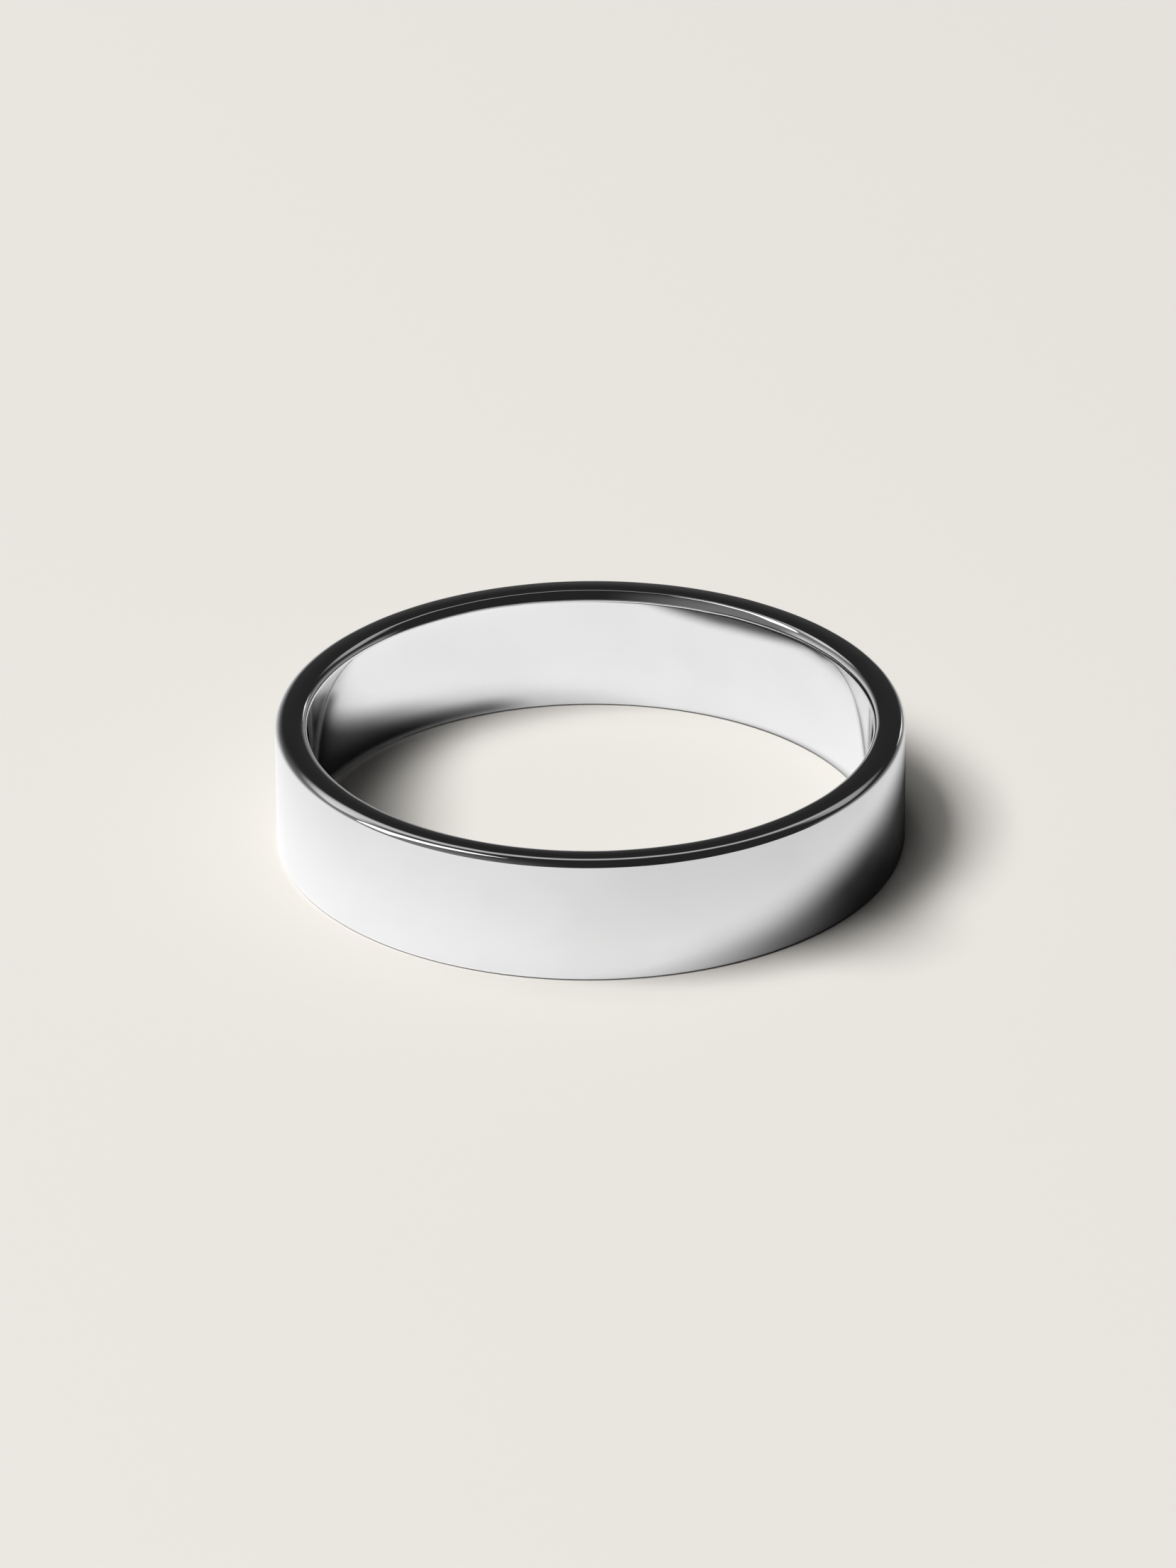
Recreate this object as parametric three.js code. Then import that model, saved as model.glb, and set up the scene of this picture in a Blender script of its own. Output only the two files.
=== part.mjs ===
// A plain wedding band with a flat outside and a comfort-fit bore, in polished white metal.
//
// The band is one turned ring. In section its outer wall and its two side faces are straight, and its
// finger bore is domed a little, so that it is tightest at mid-height. The four edges between them are
// eased with a small radius, the two at the bore slightly more than the two outside, so that the ring
// slips over a knuckle without scratching.
//
// Units are millimetres. The finger axis is +Z and the ring rests on its lower side face at z = 0.

import * as THREE from 'three';

// Driving dimensions, in millimetres.
// The bore and the wall are measured at mid-height,
// where the dome of the bore makes the wall thickest.
const boreDiameter = 17.3;
const wallThickness = 1.1;
const bandWidth = 4.0;
const boreDomeRadius = 16;
const outerEdgeRadius = 0.21;
const boreEdgeRadius = 0.24;

// How finely the round surfaces are divided.
const segmentsAround = 180;
const segmentsPerEdge = 3;
const segmentsPerDome = 4;

// Finish of the metal.
const whiteMetalColour = 0xe8e8e7;
const polishedRoughness = 0.04;

const boreRadius = boreDiameter / 2;
const outerRadius = boreRadius + wallThickness;
const quarterTurn = Math.PI / 2;

// The dome's arc ends where it runs smoothly into an eased bore edge: the steepest lean of the bore wall,
// and how far the wall has stepped back from its tightest point by then.
const domeLean = Math.asin((bandWidth / 2 - boreEdgeRadius) / (boreDomeRadius - boreEdgeRadius));
const domeStepBack = boreDomeRadius * (1 - Math.cos(domeLean));

// An arc of the section drawn counter-clockwise, as points of (distance from the finger axis, height
// above the lower side face).
function sectionArc(centreDistance, centreHeight, radius, startAngle, endAngle, segments) {
  const points = [];
  for (let step = 0; step <= segments; step += 1) {
    const angle = startAngle + ((endAngle - startAngle) * step) / segments;
    points.push(new THREE.Vector2(
      centreDistance + radius * Math.cos(angle),
      centreHeight + radius * Math.sin(angle),
    ));
  }
  return points;
}

// One of the two eased edges of the outer wall. Each turns a quarter circle.
function outerEdge(centreHeight, startAngle) {
  const centreDistance = outerRadius - outerEdgeRadius;
  const endAngle = startAngle + quarterTurn;
  return sectionArc(centreDistance, centreHeight, outerEdgeRadius, startAngle, endAngle, segmentsPerEdge);
}

// One of the two eased edges of the bore, between a side face and the end of the dome.
function boreEdge(centreHeight, startAngle, endAngle) {
  const centreDistance = boreRadius + domeStepBack + boreEdgeRadius * Math.cos(domeLean);
  return sectionArc(centreDistance, centreHeight, boreEdgeRadius, startAngle, endAngle, segmentsPerEdge);
}

// The dome of the bore, from its upper end to its lower end. Its own ends belong to the eased edges.
function boreDome() {
  const centreDistance = boreRadius + boreDomeRadius;
  const startAngle = 2 * quarterTurn - domeLean;
  const endAngle = 2 * quarterTurn + domeLean;
  const dome = sectionArc(
    centreDistance, bandWidth / 2, boreDomeRadius, startAngle, endAngle, segmentsPerDome,
  );
  return dome.slice(1, -1);
}

// The closed section of the band: up the outer wall, in across the upper side face, down the bore and
// out along the lower side face. The straight stretches are the gaps between the arcs.
function bandSection() {
  const section = [
    ...outerEdge(outerEdgeRadius, -quarterTurn),
    ...outerEdge(bandWidth - outerEdgeRadius, 0),
    ...boreEdge(bandWidth - boreEdgeRadius, quarterTurn, 2 * quarterTurn - domeLean),
    ...boreDome(),
    ...boreEdge(boreEdgeRadius, 2 * quarterTurn + domeLean, 3 * quarterTurn),
  ];
  section.push(section[0].clone());
  return section;
}

// The section turned once round the finger axis. LatheGeometry turns about Y, so the ring is then
// tipped to bring that axis to +Z.
function bandMesh() {
  const geometry = new THREE.LatheGeometry(bandSection(), segmentsAround);
  geometry.rotateX(quarterTurn);
  const whiteMetal = new THREE.MeshStandardMaterial({
    color: whiteMetalColour,
    metalness: 1,
    roughness: polishedRoughness,
  });
  const mesh = new THREE.Mesh(geometry, whiteMetal);
  mesh.name = 'band';
  return mesh;
}

const weddingBand = new THREE.Group();
weddingBand.add(bandMesh());

export default weddingBand;
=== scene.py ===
"""Looks for a plain wedding band in mirror-polished white metal.

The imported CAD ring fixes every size. This script puts a finely turned visual ring in its place, gives it
a polished metal made of nodes, and lays it on a pale studio floor under soft lights. Everything is in
metres, in the CAD frame: the ring rests on z = 0 and its finger axis is +Z. The camera looks from -Y, so
-X is on its left and +Y is the far side.
"""
import math
from collections import namedtuple

import bpy
import numpy as np
from mathutils import Matrix, Vector


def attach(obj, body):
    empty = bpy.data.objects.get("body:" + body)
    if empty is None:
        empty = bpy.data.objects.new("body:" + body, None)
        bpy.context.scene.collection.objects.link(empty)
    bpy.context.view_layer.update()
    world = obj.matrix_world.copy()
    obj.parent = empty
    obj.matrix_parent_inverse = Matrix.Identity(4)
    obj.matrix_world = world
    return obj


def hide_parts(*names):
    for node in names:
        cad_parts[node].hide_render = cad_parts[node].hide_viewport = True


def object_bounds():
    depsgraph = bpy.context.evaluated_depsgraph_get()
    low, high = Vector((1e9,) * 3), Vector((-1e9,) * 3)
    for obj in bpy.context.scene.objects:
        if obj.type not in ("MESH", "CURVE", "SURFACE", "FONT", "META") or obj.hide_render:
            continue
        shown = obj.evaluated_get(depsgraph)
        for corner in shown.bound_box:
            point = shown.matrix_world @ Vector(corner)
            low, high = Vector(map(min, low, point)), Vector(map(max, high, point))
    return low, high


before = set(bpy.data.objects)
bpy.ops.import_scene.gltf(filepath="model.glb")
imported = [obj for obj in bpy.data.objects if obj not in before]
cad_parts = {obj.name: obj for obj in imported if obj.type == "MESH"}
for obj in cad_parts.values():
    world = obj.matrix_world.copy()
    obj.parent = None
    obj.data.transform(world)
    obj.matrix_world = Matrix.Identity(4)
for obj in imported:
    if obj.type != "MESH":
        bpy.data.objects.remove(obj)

cad_low, cad_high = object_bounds()

# ---------------------------------------------------------------- sizes of the ring
MM = 0.001
QUARTER_TURN = math.pi / 2
HALF_TURN = math.pi
FULL_TURN = 2 * math.pi

outer_radius = (cad_high.x - cad_low.x) / 2
band_width = cad_high.z - cad_low.z
ring_centre = (cad_low + cad_high) / 2
wall_thickness = 1.1 * MM                    # at mid-height, where the domed bore is tightest
bore_radius = outer_radius - wall_thickness
bore_dome_radius = 16 * MM
outer_edge = 0.21 * MM
bore_edge = 0.24 * MM
lower_outer_edge = 0.5 * outer_edge          # the two lower edges are eased less than the upper ones
lower_bore_edge = 0.5 * bore_edge
side_crown = math.radians(2.5)               # how far the side faces' normals lean at their two edges

STEPS_AROUND = 1080
STEPS_PER_EDGE = 14
STEPS_PER_DOME = 16

# How hand polishing has left the two upper edges. Each edge is an oval, with a height down the wall and a
# reach across the side face. Each of these changes slowly, once round the ring, by a share of its middle
# size, and is largest at an angle from +X towards +Y. Ripples of many shorter lengths lie on that: each
# repeats a whole number of times round the ring.
Polish = namedtuple("Polish", "middle_size change largest_at ripple seed")
OUTER_EDGE_HEIGHT = Polish(outer_edge, change=0.12, largest_at=math.radians(50), ripple=0.006, seed=3)
OUTER_EDGE_REACH = Polish(1.2 * outer_edge, change=0.38, largest_at=math.radians(246), ripple=0.014, seed=5)
BORE_EDGE_HEIGHT = Polish(1.3 * bore_edge, change=0.38, largest_at=math.radians(50), ripple=0.020, seed=8)
BORE_EDGE_REACH = Polish(0.95 * bore_edge, change=0.05, largest_at=math.radians(235), ripple=0.020, seed=9)
RIPPLE_REPEATS = range(5, 46)


# ---------------------------------------------------------------- the ring's surface
def polished_edge(angle, polish):
    """The size of a polished edge at each angle round the ring. Shorter ripples are weaker."""
    draws = np.random.default_rng(polish.seed)
    opened = 1 + polish.change * np.cos(angle - polish.largest_at)
    for repeats in RIPPLE_REPEATS:
        phase = draws.uniform(0, FULL_TURN)
        strength = polish.ripple / math.sqrt(repeats) * draws.normal()
        opened = opened + strength * np.cos(repeats * angle + phase)
    return polish.middle_size * opened


def bore_edge_shape(reach, height):
    """Where a bore edge's oval meets the dome: the wall's lean there, and the oval's middle distance."""
    lean = np.arcsin((band_width / 2 - height) / (bore_dome_radius - height ** 2 / reach))
    size = np.hypot(reach * np.cos(lean), height * np.sin(lean))
    middle = bore_radius + bore_dome_radius * (1 - np.cos(lean)) + reach ** 2 * np.cos(lean) / size
    return lean, middle


# A piece of the section: an arc of an oval. The oval's middle is at a distance from the finger axis and a
# height above the floor, and reach and rise are its half-width and half-height. The arc goes from where its
# surface faces one angle to where it faces another: 0 is away from the axis, and a quarter turn is up.
Oval = namedtuple("Oval", "distance height reach rise start end steps")


def section_ovals(angle):
    """The ring's section as ovals. Where their sizes change round the ring, they are arrays over angle.

    The section runs up the outer wall, in over the upper side face, down the domed bore and out along
    the lower side face. The straight stretches are the gaps between the ovals.
    """
    outer_height = polished_edge(angle, OUTER_EDGE_HEIGHT)
    outer_reach = polished_edge(angle, OUTER_EDGE_REACH)
    upper_height = polished_edge(angle, BORE_EDGE_HEIGHT)
    upper_reach = polished_edge(angle, BORE_EDGE_REACH)
    upper_lean, upper_middle = bore_edge_shape(upper_reach, upper_height)
    lower_lean, lower_middle = bore_edge_shape(lower_bore_edge, lower_bore_edge)
    return [
        Oval(
            distance=outer_radius - lower_outer_edge, height=lower_outer_edge,
            reach=lower_outer_edge, rise=lower_outer_edge,
            start=side_crown - QUARTER_TURN, end=0, steps=STEPS_PER_EDGE,
        ),
        Oval(
            distance=outer_radius - outer_reach, height=band_width - outer_height,
            reach=outer_reach, rise=outer_height,
            start=0, end=QUARTER_TURN - side_crown, steps=STEPS_PER_EDGE,
        ),
        Oval(
            distance=upper_middle, height=band_width - upper_height,
            reach=upper_reach, rise=upper_height,
            start=QUARTER_TURN + side_crown, end=HALF_TURN - upper_lean, steps=STEPS_PER_EDGE,
        ),
        Oval(
            distance=bore_radius + bore_dome_radius, height=band_width / 2,
            reach=bore_dome_radius, rise=bore_dome_radius,
            start=HALF_TURN - upper_lean, end=HALF_TURN + lower_lean, steps=STEPS_PER_DOME,
        ),
        Oval(
            distance=lower_middle, height=lower_bore_edge,
            reach=lower_bore_edge, rise=lower_bore_edge,
            start=HALF_TURN + lower_lean, end=3 * QUARTER_TURN - side_crown, steps=STEPS_PER_EDGE,
        ),
    ]


def section_rows(angle):
    """The section's points as arrays of distance from the axis, height, and the angle they face.

    One row of each array holds one point of the section at all angles round the ring.
    """
    distances, heights, facings = [], [], []
    for oval in section_ovals(angle):
        for step_number in range(oval.steps + 1):
            turned = (oval.end - oval.start) * step_number / oval.steps
            facing = np.broadcast_to(oval.start + turned, angle.shape)
            size = np.hypot(oval.reach * np.cos(facing), oval.rise * np.sin(facing))
            distances.append(oval.distance + oval.reach ** 2 * np.cos(facing) / size)
            heights.append(oval.height + oval.rise ** 2 * np.sin(facing) / size)
            facings.append(facing)
    return np.array(distances), np.array(heights), np.array(facings)


def grid_faces(rows, columns):
    """The faces of a grid of points that closes on itself in both directions."""
    faces = []
    for row in range(rows):
        next_row = (row + 1) % rows
        for column in range(columns):
            next_column = (column + 1) % columns
            faces.append((
                row * columns + column,
                row * columns + next_column,
                next_row * columns + next_column,
                next_row * columns + column,
            ))
    return faces


def turned_ring(name):
    """The visual ring as a smooth mesh whose normals are the surface's own, so reflections run true."""
    angle = np.linspace(0, FULL_TURN, STEPS_AROUND, endpoint=False)
    distance, height, facing = section_rows(angle)
    points = np.stack([distance * np.cos(angle), distance * np.sin(angle), height], axis=-1)
    round_tangent = np.roll(points, -1, axis=1) - np.roll(points, 1, axis=1)
    outward, upward = -np.sin(facing), np.cos(facing)
    section_tangent = np.stack([outward * np.cos(angle), outward * np.sin(angle), upward], axis=-1)
    normals = np.cross(round_tangent, section_tangent)
    normals /= np.linalg.norm(normals, axis=-1, keepdims=True)

    faces = grid_faces(len(facing), STEPS_AROUND)
    mesh = bpy.data.meshes.new(name)
    mesh.from_pydata(points.reshape(-1, 3).tolist(), [], faces)
    mesh.polygons.foreach_set("use_smooth", [True] * len(faces))
    mesh.normals_split_custom_set_from_vertices(normals.reshape(-1, 3).tolist())
    mesh.update()
    ring = bpy.data.objects.new(name, mesh)
    bpy.context.scene.collection.objects.link(ring)
    return ring


# ---------------------------------------------------------------- node helpers
# A smooth change from one value to another, as what it follows goes from low to high.
Fade = namedtuple("Fade", "low high below above")


def node_material(name):
    """A new material with nothing in it but an output: the material, its node tree and the output."""
    material = bpy.data.materials.new(name)
    material.use_nodes = True
    tree = material.node_tree
    tree.nodes.clear()
    output = tree.nodes.new("ShaderNodeOutputMaterial")
    return material, tree, output


def faded(tree, source, fade):
    """A source turned into a fade's values."""
    ramp = tree.nodes.new("ShaderNodeMapRange")
    ramp.interpolation_type = "SMOOTHSTEP"
    ramp.inputs["From Min"].default_value = fade.low
    ramp.inputs["From Max"].default_value = fade.high
    ramp.inputs["To Min"].default_value = fade.below
    ramp.inputs["To Max"].default_value = fade.above
    tree.links.new(source, ramp.inputs["Value"])
    return ramp.outputs["Result"]


def set_input(tree, socket, value):
    """Give a node's input a plain number, or link another node's output to it."""
    if isinstance(value, (int, float)):
        socket.default_value = value
    else:
        tree.links.new(value, socket)


def combine(tree, operation, first, second=0):
    """Two values joined by a maths node. An operation on one value leaves out the second."""
    maths = tree.nodes.new("ShaderNodeMath")
    maths.operation = operation
    set_input(tree, maths.inputs[0], first)
    set_input(tree, maths.inputs[1], second)
    return maths.outputs["Value"]


def product(tree, first, *others):
    """Values multiplied together."""
    total = first
    for value in others:
        total = combine(tree, "MULTIPLY", total, value)
    return total


def weighted_sum(tree, start, *terms):
    """A start value with terms of (value, weight) added to it."""
    total = start
    for value, weight in terms:
        total = combine(tree, "ADD", combine(tree, "MULTIPLY", value, weight), total)
    return total


def blend(tree, factor, at_zero, at_one):
    """A value that goes from one to another as the factor goes from 0 to 1."""
    mix = tree.nodes.new("ShaderNodeMix")
    tree.links.new(factor, mix.inputs["Factor"])
    set_input(tree, mix.inputs["A"], at_zero)
    set_input(tree, mix.inputs["B"], at_one)
    return mix.outputs["Result"]


def split_vector(tree, vector):
    """A vector's outputs by axis: "X", "Y" and "Z"."""
    split = tree.nodes.new("ShaderNodeSeparateXYZ")
    tree.links.new(vector, split.inputs["Vector"])
    return split.outputs


def distance_from(tree, place, x, y):
    """How far a place is from a point on the floor."""
    measure = tree.nodes.new("ShaderNodeVectorMath")
    measure.operation = "DISTANCE"
    tree.links.new(place, measure.inputs[0])
    measure.inputs[1].default_value = (x, y, 0)
    return measure.outputs["Value"]


def noise(tree, place, scale, detail):
    """Soft noise about 0.5 over a place, with this many bumps to a metre."""
    texture = tree.nodes.new("ShaderNodeTexNoise")
    texture.inputs["Scale"].default_value = scale
    texture.inputs["Detail"].default_value = detail
    tree.links.new(place, texture.inputs["Vector"])
    return texture.outputs["Fac"]


# ---------------------------------------------------------------- the polished metal
METAL_COLOUR = (0.875, 0.875, 0.875, 1)
DULLED_COLOUR = (0.76, 0.755, 0.745, 1)
POLISHED_ROUGHNESS = 0.034

# Flaws in the polish: the noise they come from, and how much they roughen and dull the metal.
Flaw = namedtuple("Flaw", "scale detail fade roughness dulling")
LINES = Flaw(scale=9 / MM, detail=4, fade=Fade(0.56, 0.78, 0, 1), roughness=0.020, dulling=0.10)
HAZE = Flaw(scale=0.35 / MM, detail=3, fade=Fade(0.35, 0.75, 0, 1), roughness=0.022, dulling=0.25)
SPECKS = Flaw(scale=6 / MM, detail=1, fade=Fade(0.79, 0.83, 0, 1), roughness=0.10, dulling=0.65)
LINE_TURN = 0.4 * MM                         # what one radian round the ring counts for in the lines' noise
FOOT_RUB = Fade(0, 0.5 * MM, 1, 0)           # by height: wear where the ring has stood on its foot
FOOT_RUB_ROUGHNESS = 0.05
WAVE_SCALE = 0.9 / MM
WAVE_DETAIL = 2
WAVE_DEPTH = 0.0012 * MM
LINE_DEPTH = 0.02                            # as a share of the waves' depth


def drawn_out_place(tree, place):
    """A place whose turn round the finger axis is squeezed, which draws noise out into long lines."""
    axes = split_vector(tree, place)
    squares = combine(tree, "ADD", product(tree, axes["X"], axes["X"]), product(tree, axes["Y"], axes["Y"]))
    turn = combine(tree, "ARCTAN2", axes["Y"], axes["X"])
    drawn_out = tree.nodes.new("ShaderNodeCombineXYZ")
    tree.links.new(combine(tree, "MULTIPLY", turn, LINE_TURN), drawn_out.inputs["X"])
    tree.links.new(combine(tree, "SQRT", squares), drawn_out.inputs["Y"])
    tree.links.new(axes["Z"], drawn_out.inputs["Z"])
    return drawn_out.outputs["Vector"]


def flaw_strength(tree, place, flaw):
    """How strong a flaw is at a place, from 0 to 1."""
    return faded(tree, noise(tree, place, flaw.scale, flaw.detail), flaw.fade)


def polished_white_metal():
    """Mirror-polished white metal, worn a little: polishing lines, hazy patches, specks, soft waves."""
    material, tree, output = node_material("polished_white_metal")
    place = tree.nodes.new("ShaderNodeTexCoord").outputs["Object"]
    height = split_vector(tree, place)["Z"]
    lines = flaw_strength(tree, drawn_out_place(tree, place), LINES)
    haze = flaw_strength(tree, place, HAZE)
    specks = flaw_strength(tree, place, SPECKS)
    foot_rub = faded(tree, height, FOOT_RUB)
    roughness = weighted_sum(
        tree, POLISHED_ROUGHNESS,
        (lines, LINES.roughness),
        (haze, HAZE.roughness),
        (specks, SPECKS.roughness),
        (foot_rub, FOOT_RUB_ROUGHNESS),
    )
    dulling = weighted_sum(
        tree, 0,
        (lines, LINES.dulling),
        (haze, HAZE.dulling),
        (specks, SPECKS.dulling),
    )

    tone = tree.nodes.new("ShaderNodeMix")
    tone.data_type = "RGBA"
    tree.links.new(dulling, tone.inputs["Factor"])
    tone.inputs["A"].default_value = METAL_COLOUR
    tone.inputs["B"].default_value = DULLED_COLOUR

    waves = noise(tree, place, WAVE_SCALE, WAVE_DETAIL)
    surface = tree.nodes.new("ShaderNodeBump")
    surface.inputs["Strength"].default_value = 1
    surface.inputs["Distance"].default_value = WAVE_DEPTH
    tree.links.new(weighted_sum(tree, waves, (lines, LINE_DEPTH)), surface.inputs["Height"])

    metal = tree.nodes.new("ShaderNodeBsdfPrincipled")
    metal.inputs["Metallic"].default_value = 1
    tree.links.new(tone.outputs["Result"], metal.inputs["Base Color"])
    tree.links.new(roughness, metal.inputs["Roughness"])
    tree.links.new(surface.outputs["Normal"], metal.inputs["Normal"])
    tree.links.new(metal.outputs["BSDF"], output.inputs["Surface"])
    return material


# ---------------------------------------------------------------- the floor
FLOOR_RADIUS = 0.3
FLOOR_CORNERS = 64
FLOOR_COLOUR = (0.765, 0.737, 0.694)         # as the camera sees it
# The metal's reflections show a separate copy of the floor's colour, with painted light and shade.
REFLECTED_PAINTED_COLOUR = (1, 1, 1)                 # as the polished metal sees it
FLOOR_ROUGHNESS = 0.8
FLOOR_SPECULAR = 0.1

# Where the floor's tone changes. "Outward" goes by distance from the finger axis or from the named middle,
# "across" goes by X and "along" by Y.
INSIDE_RING = Fade(bore_radius - 0.15 * MM, bore_radius + 0.25 * MM, 1, 0)

# The tones that the metal sees, all painted: darker towards the right and away from the ring, with painted
# shadow inside the ring on the left, near the foot of the bore there, and outside the ring on the right.
OUTSIDE_ACROSS = Fade(-12 * MM, 12 * MM, 0.86, 0.72)
OUTSIDE_OUTWARD = Fade(10 * MM, 17 * MM, 1.03, 0.91)
INSIDE_TONE = 0.83
INSIDE_SHADED_TONE = 0.12
LEFT_SHADE_ACROSS = Fade(-5.8 * MM, -3.0 * MM, 1, 0)
FOOT_SHADE_OUTWARD = Fade(7.7 * MM, 8.5 * MM, 0, 0.7)
FOOT_SHADE_ACROSS = Fade(-3.2 * MM, -1.4 * MM, 1, 0)
RIGHT_SHADE_MIDDLE = (2.7 * MM, -0.2 * MM)
RIGHT_SHADE_OUTWARD = Fade(8.5 * MM, 11.3 * MM, 0.92, 0)
RIGHT_SHADE_ACROSS = Fade(1.2 * MM, 6.6 * MM, 0, 1)
RIGHT_SHADE_NEAR = Fade(-11 * MM, -5 * MM, 0.40, 1)
RIGHT_SHADE_FAR = Fade(-4 * MM, 0, 1, 0.85)

# The tones that the camera sees: even, with painted shadow inside the ring on the left and just outside it
# on the near right, deepening the ring's own shadow there.
SEEN_LEFT_ACROSS = Fade(-7.2 * MM, -3.3 * MM, 1, 0)
SEEN_LEFT_TONE = 0.32
SEEN_RIGHT_MIDDLE = (8.3 * MM, -6.4 * MM)
SEEN_RIGHT_OUTWARD = Fade(0.8 * MM, 3.8 * MM, 0.74, 1)


def lit_share(tree, shade):
    """What is left of the light in a shade: 1 where there is none, and 0 in full shade."""
    return blend(tree, shade, 1, 0)


def painted_reflection_tone(tree, place, inside):
    """The floor's painted light and shade as the polished metal sees it."""
    axes = split_vector(tree, place)
    from_axis = distance_from(tree, place, 0, 0)
    # Painted shadow on the floor outside the ring on the right, as the metal sees it.
    painted_right_shadow = product(
        tree,
        faded(tree, axes["X"], RIGHT_SHADE_ACROSS),
        faded(tree, axes["Y"], RIGHT_SHADE_NEAR),
        faded(tree, distance_from(tree, place, *RIGHT_SHADE_MIDDLE), RIGHT_SHADE_OUTWARD),
        faded(tree, axes["Y"], RIGHT_SHADE_FAR),
    )
    outside_tone = product(
        tree,
        faded(tree, axes["X"], OUTSIDE_ACROSS),
        faded(tree, from_axis, OUTSIDE_OUTWARD),
        lit_share(tree, painted_right_shadow),
    )
    # Painted shadow on the floor inside the ring on the left, as the metal sees it.
    painted_left_shadow = product(tree, inside, faded(tree, axes["X"], LEFT_SHADE_ACROSS))
    # Painted shade on the floor along the bore's foot, left of the middle.
    painted_foot_shade = product(
        tree,
        faded(tree, from_axis, FOOT_SHADE_OUTWARD),
        faded(tree, axes["X"], FOOT_SHADE_ACROSS),
    )
    inside_tone = product(
        tree,
        blend(tree, painted_left_shadow, INSIDE_TONE, INSIDE_SHADED_TONE),
        lit_share(tree, painted_foot_shade),
    )
    return blend(tree, inside, outside_tone, inside_tone)


def seen_tone_with_painted_shade(tree, place, inside):
    """The floor's tone as the camera sees it, with its painted shadow."""
    across = split_vector(tree, place)["X"]
    # Painted shadow on the floor inside the ring on the left, as the camera sees it.
    painted_left_shadow = product(tree, inside, faded(tree, across, SEEN_LEFT_ACROSS))
    # Painted shadow on the floor just outside the ring on the near right.
    painted_right_shadow_tone = faded(tree, distance_from(tree, place, *SEEN_RIGHT_MIDDLE), SEEN_RIGHT_OUTWARD)
    return product(tree, blend(tree, painted_left_shadow, 1, SEEN_LEFT_TONE), painted_right_shadow_tone)


def pale_floor():
    """Matte pale paint, seen a little differently by the camera and by the polished metal:
    its reflections in the metal show a copy with painted light and shade.

    Both see soft shade painted where the ring already shades the floor.
    """
    material, tree, output = node_material("pale_floor")
    place = tree.nodes.new("ShaderNodeNewGeometry").outputs["Position"]
    inside = faded(tree, distance_from(tree, place, 0, 0), INSIDE_RING)
    # Glossy rays see the copy with painted light and shade; all other rays see the floor's own colour.
    tint = tree.nodes.new("ShaderNodeMix")
    tint.data_type = "RGBA"
    path = tree.nodes.new("ShaderNodeLightPath")
    tree.links.new(path.outputs["Is Glossy Ray"], tint.inputs["Factor"])
    for socket, colour, tone in (
        ("A", FLOOR_COLOUR, seen_tone_with_painted_shade(tree, place, inside)),
        ("B", REFLECTED_PAINTED_COLOUR, painted_reflection_tone(tree, place, inside)),
    ):
        shaded = tree.nodes.new("ShaderNodeVectorMath")
        shaded.operation = "SCALE"
        shaded.inputs[0].default_value = colour
        tree.links.new(tone, shaded.inputs["Scale"])
        tree.links.new(shaded.outputs["Vector"], tint.inputs[socket])
    paint = tree.nodes.new("ShaderNodeBsdfPrincipled")
    paint.inputs["Roughness"].default_value = FLOOR_ROUGHNESS
    paint.inputs["Specular IOR Level"].default_value = FLOOR_SPECULAR
    tree.links.new(tint.outputs["Result"], paint.inputs["Base Color"])
    tree.links.new(paint.outputs["BSDF"], output.inputs["Surface"])
    return material


def round_floor(name):
    """A flat disc at z = 0 round the finger axis."""
    corners = [
        (FLOOR_RADIUS * math.cos(turn), FLOOR_RADIUS * math.sin(turn), 0)
        for turn in np.linspace(0, FULL_TURN, FLOOR_CORNERS, endpoint=False)
    ]
    mesh = bpy.data.meshes.new(name)
    mesh.from_pydata(corners, [], [tuple(range(FLOOR_CORNERS))])
    disc = bpy.data.objects.new(name, mesh)
    bpy.context.scene.collection.objects.link(disc)
    return disc


# ---------------------------------------------------------------- lamps
# Azimuths are in degrees from +X towards +Y, elevations in degrees above the floor. wide and high are the
# angles that a lamp fills as the ring sees it, in degrees, and tilt is its turn in its own plane.
LIGHT_DISTANCE = 1.5
FLOOR_LAMPS = [
    dict(name="key_softbox", azimuth=196, elevation=58, wide=33, high=24, brightness=13.2, tilt=-11),
    dict(name="top_softbox", azimuth=188, elevation=75, wide=52, high=24, brightness=2.1, tilt=0),
]
RING_LAMPS = [
    dict(name="left_strip", azimuth=164, elevation=53, wide=14, high=48, brightness=1.25, tilt=36),
    dict(name="far_right_card", azimuth=65, elevation=20, wide=8, high=8, brightness=0.8, tilt=0),
]


def direction(azimuth, elevation):
    """A unit vector from two angles in degrees."""
    turn, rise = math.radians(azimuth), math.radians(elevation)
    return Vector((math.cos(turn) * math.cos(rise), math.sin(turn) * math.cos(rise), math.sin(rise)))


def facing_back(outward, roll):
    """The rotation of a lamp or camera that looks back along outward, rolled by some degrees."""
    level = outward.to_track_quat("Z", "Y").to_matrix()
    rolled = Matrix.Rotation(math.radians(roll), 3, "Z")
    return (level @ rolled).to_quaternion()


def angular_size(degrees):
    """The width that fills an angle at the lamps' distance."""
    return 2 * LIGHT_DISTANCE * math.tan(math.radians(degrees / 2))


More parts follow.
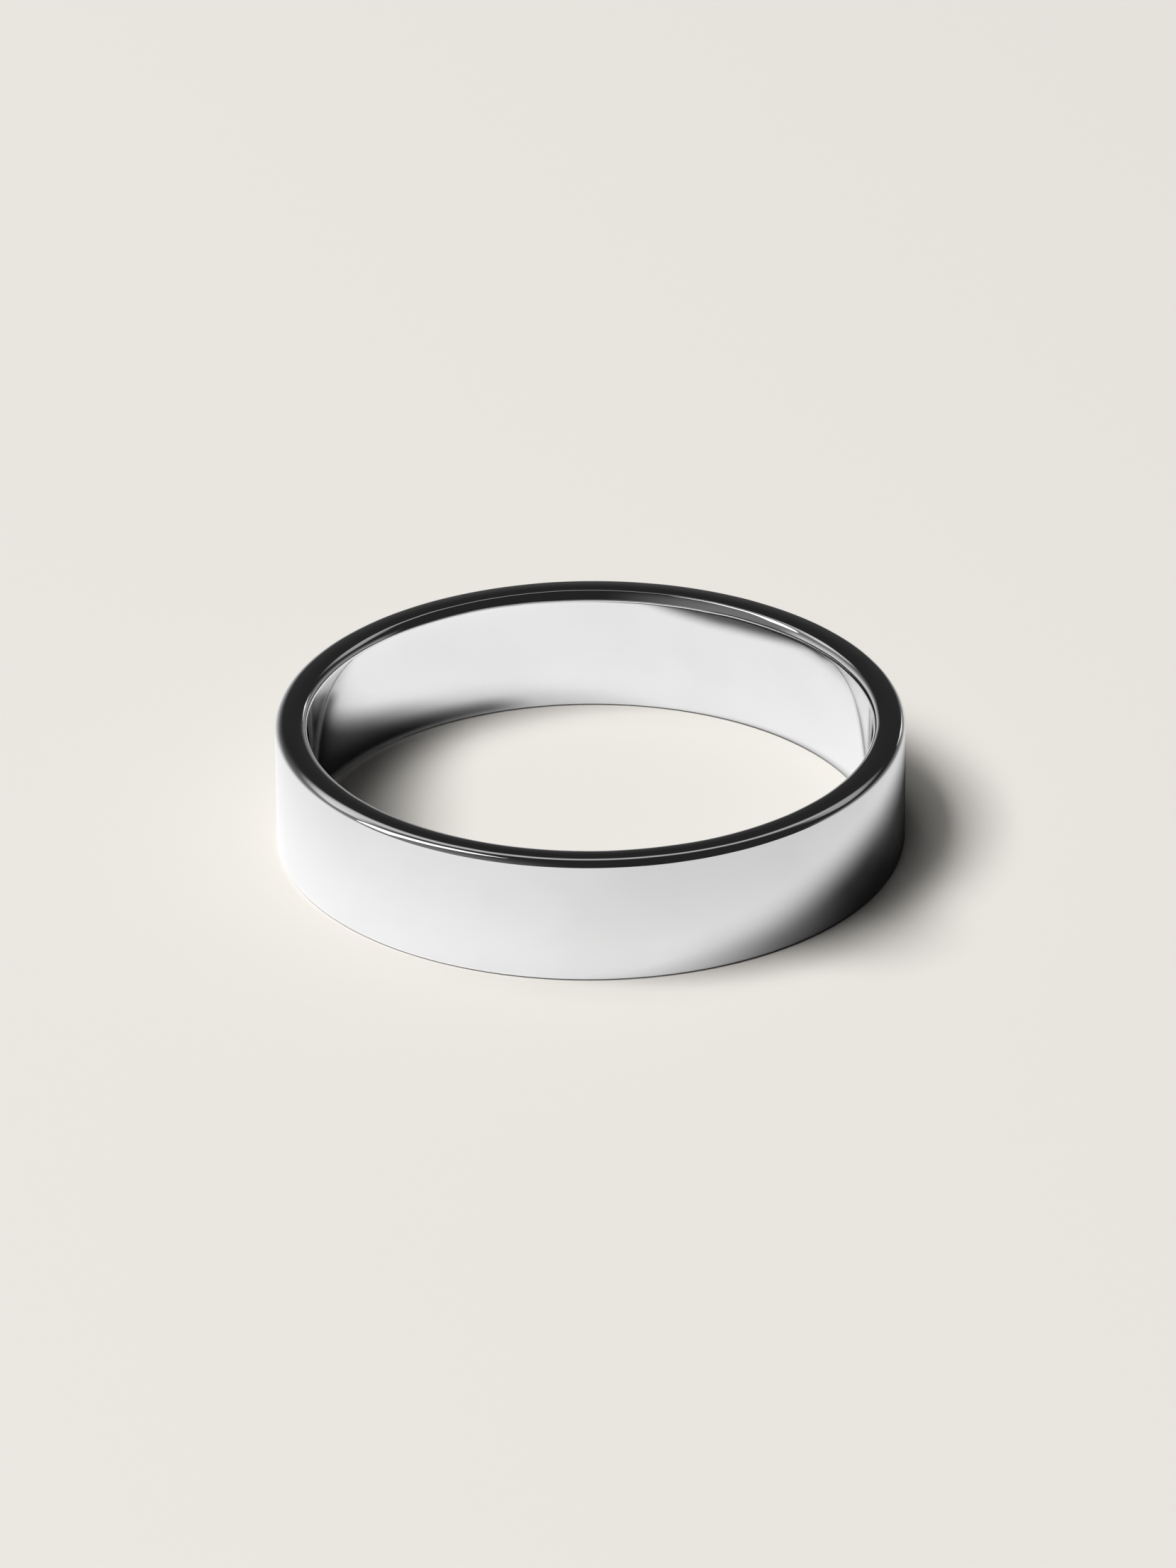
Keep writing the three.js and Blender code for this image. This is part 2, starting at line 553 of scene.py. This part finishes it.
def softbox(name, azimuth, elevation, wide, high, brightness, tilt):
    """A rectangular light facing the ring. Its power goes with its area, so its size doesn't dim it."""
    light = bpy.data.lights.new(name, "AREA")
    light.shape = "RECTANGLE"
    light.size = angular_size(wide)
    light.size_y = angular_size(high)
    light.energy = brightness * math.pi * light.size * light.size_y
    lamp = bpy.data.objects.new(name, light)
    outward = direction(azimuth, elevation)
    lamp.location = outward * LIGHT_DISTANCE
    lamp.rotation_mode = "QUATERNION"
    lamp.rotation_quaternion = facing_back(outward, tilt)
    lamp.visible_camera = False
    bpy.context.scene.collection.objects.link(lamp)
    return lamp


def light_only(lamps, receiver):
    """Let these lamps light one object and nothing else."""
    lit = bpy.data.collections.new("lit_" + receiver.name)
    lit.objects.link(receiver)
    for lamp in lamps:
        lamp.light_linking.receiver_collection = lit


# ---------------------------------------------------------------- the room round the ring
# Soft-edged patches of light. Each is the product of fades along directions in the room.
RIGHTWARD, BACKWARD, UPWARD = "X", "Y", "Z"
LEFT_GLOW = [
    (RIGHTWARD, Fade(-0.85, -0.05, 0.23, 0.025)),
]
FAR_GLOW = [
    (UPWARD, Fade(0.02, 0.47, 0.6, 0)),
    (RIGHTWARD, Fade(-0.35, 0.35, 1, 0.6)),
    (BACKWARD, Fade(-0.2, 0.05, 0, 1)),
]
HIGH_STRIP = [
    (UPWARD, Fade(0.53, 0.66, 0, 1)),
    (UPWARD, Fade(0.72, 0.81, 1, 0)),
    (RIGHTWARD, Fade(-0.45, 0.45, 0.75, 0.40)),
    (BACKWARD, Fade(0.30, 0.45, 0, 1)),
]
ROOM_FILL = 0.02                             # the even light that the room throws on matte surfaces
BACKDROP_COLOUR = (0.807, 0.776, 0.730, 1)   # what the camera sees beyond the floor


def light_patch(tree, axes, fades):
    """One patch of light as a value over all directions."""
    return product(tree, *(faded(tree, axes[axis], fade) for axis, fade in fades))


def studio_room():
    """The world: patches of light for the metal, dim even light for the floor, and a pale backdrop."""
    world = bpy.data.worlds.new("studio")
    bpy.context.scene.world = world
    world.use_nodes = True
    tree = world.node_tree
    tree.nodes.clear()
    axes = split_vector(tree, tree.nodes.new("ShaderNodeTexCoord").outputs["Generated"])
    path = tree.nodes.new("ShaderNodeLightPath")
    left_glow = light_patch(tree, axes, LEFT_GLOW)
    far_glow = light_patch(tree, axes, FAR_GLOW)
    high_strip = light_patch(tree, axes, HIGH_STRIP)
    patches = combine(tree, "ADD", combine(tree, "ADD", left_glow, far_glow), high_strip)
    brightness = blend(tree, path.outputs["Is Diffuse Ray"], patches, ROOM_FILL)
    lit_room = tree.nodes.new("ShaderNodeBackground")
    tree.links.new(brightness, lit_room.inputs["Strength"])
    backdrop = tree.nodes.new("ShaderNodeBackground")
    backdrop.inputs["Color"].default_value = BACKDROP_COLOUR
    mix = tree.nodes.new("ShaderNodeMixShader")
    tree.links.new(path.outputs["Is Camera Ray"], mix.inputs["Fac"])
    tree.links.new(lit_room.outputs["Background"], mix.inputs[1])
    tree.links.new(backdrop.outputs["Background"], mix.inputs[2])
    output = tree.nodes.new("ShaderNodeOutputWorld")
    tree.links.new(mix.outputs["Shader"], output.inputs["Surface"])


# ---------------------------------------------------------------- camera
CAMERA_AZIMUTH = -90
CAMERA_ELEVATION = 27.1
CAMERA_DISTANCE = 30.56 * outer_radius
CAMERA_ROLL = -0.315                         # in degrees
AIM_LEFT = 0.0082 * outer_radius             # the camera aims a little left of and below the ring's centre
AIM_BELOW = 0.0295 * outer_radius
LENS_MM = 220.8
SENSOR_WIDTH_MM = 36
CLIP_START = 0.01


def studio_camera():
    """The camera that the scene is rendered with."""
    toward_camera = direction(CAMERA_AZIMUTH, CAMERA_ELEVATION)
    camera_right = Vector((1, 0, 0))
    camera_up = toward_camera.cross(camera_right)
    aim = ring_centre - camera_right * AIM_LEFT - camera_up * AIM_BELOW
    camera_data = bpy.data.cameras.new("camera")
    camera_data.lens = LENS_MM
    camera_data.sensor_width = SENSOR_WIDTH_MM
    camera_data.clip_start = CLIP_START
    camera = bpy.data.objects.new("camera", camera_data)
    bpy.context.scene.collection.objects.link(camera)
    camera.location = ring_centre + toward_camera * CAMERA_DISTANCE
    camera.rotation_mode = "QUATERNION"
    camera.rotation_quaternion = facing_back(camera.location - aim, CAMERA_ROLL)
    return camera


# ---------------------------------------------------------------- the scene
ring = turned_ring("polished_band")
ring.data.materials.append(polished_white_metal())
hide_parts("band")
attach(ring, "root")

floor = round_floor("floor")
floor.data.materials.append(pale_floor())

light_only([softbox(**lamp) for lamp in FLOOR_LAMPS], floor)
light_only([softbox(**lamp) for lamp in RING_LAMPS], ring)
studio_room()
bpy.context.scene.camera = studio_camera()
bpy.context.scene.view_settings.view_transform = "Standard"
